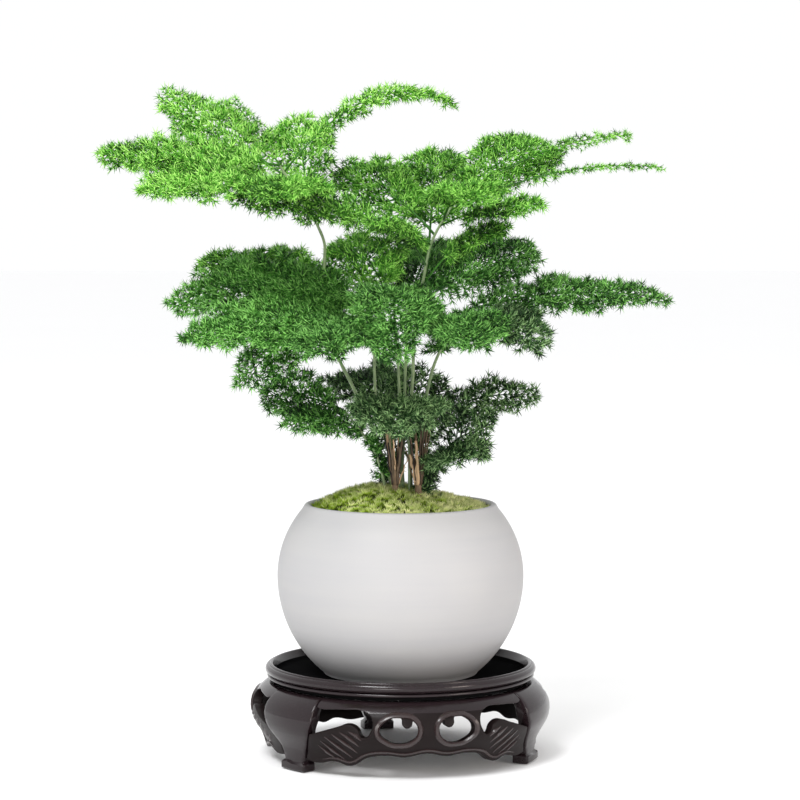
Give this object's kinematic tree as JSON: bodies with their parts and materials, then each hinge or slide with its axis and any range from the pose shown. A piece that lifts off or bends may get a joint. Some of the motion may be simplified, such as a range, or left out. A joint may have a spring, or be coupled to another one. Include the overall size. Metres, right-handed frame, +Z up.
{
  "type": "potted asparagus fern",
  "caption": "Asparagus fern in layered flat pads on thin canes, in a white ball pot with moss, on a round dark carved wood stand.",
  "frame": {"origin": "middle of the whole object's footprint, on the surface that it stands on", "axes": "+Z up, -Y to the side that the picture shows, +X to its right"},
  "size_m": [0.314, 0.1968, 0.382],
  "materials": {
    "dark_wood": "dark brown lacquer, satin",
    "white_ceramic": "white satin",
    "potting_soil": "dark, rough and matte",
    "moss_green": "yellow green, matte",
    "cane_green": "pale green, satin",
    "cane_brown": "dry brown, matte",
    "needles_bright": "fresh green, satin",
    "needles_deep": "deep green, satin"
  },
  "bodies": {
    "root": {"cane_back": "cane_green", "cane_dark_right": "cane_green", "cane_low_back": "cane_green", "cane_low_bush": "cane_green", "cane_low_front": "cane_green", "cane_low_left": "cane_green", "cane_mid_left": "cane_green", "cane_middle": "cane_green", "cane_old_brown": "cane_brown", "cane_old_tan": "cane_brown", "cane_tall_left": "cane_green", "cane_tall_right": "cane_green", "frond_a_arch": "needles_bright", "frond_a_front": "needles_bright", "frond_a_left": "needles_bright", "frond_a_low": "needles_bright", "frond_a_notch": "needles_bright", "frond_a_right": "needles_bright", "frond_a_upper": "needles_bright", "frond_b_back": "needles_bright", "frond_b_back_left": "needles_bright", "frond_b_front": "needles_bright", "frond_b_front_right": "needles_bright", "frond_b_left": "needles_bright", "frond_b_right": "needles_bright", "frond_b_right_low": "needles_bright", "frond_b_shelf": "needles_bright", "frond_b_wisp_low": "needles_bright", "frond_b_wisp_up": "needles_bright", "frond_c_back": "needles_deep", "frond_c_droop": "needles_deep", "frond_c_front": "needles_deep", "frond_c_left": "needles_deep", "frond_c_upper": "needles_deep", "frond_d_back": "needles_deep", "frond_d_back_left": "needles_deep", "frond_d_back_right": "needles_deep", "frond_d_front": "needles_deep", "frond_d_front_left": "needles_deep", "frond_d_front_right": "needles_deep", "frond_d_long": "needles_deep", "frond_d_right_low": "needles_deep", "frond_e_back": "needles_deep", "frond_e_bush": "needles_deep", "frond_e_core": "needles_deep", "frond_e_front": "needles_deep", "frond_e_left": "needles_deep", "frond_e_left_low": "needles_deep", "frond_e_low": "needles_deep", "frond_e_right": "needles_deep", "moss": "moss_green", "pot": "white_ceramic", "soil": "potting_soil", "stand_apron_1": "dark_wood", "stand_apron_2": "dark_wood", "stand_apron_3": "dark_wood", "stand_leg_1": "dark_wood", "stand_leg_2": "dark_wood", "stand_leg_3": "dark_wood", "stand_tray": "dark_wood"}
  },
  "joints": []
}
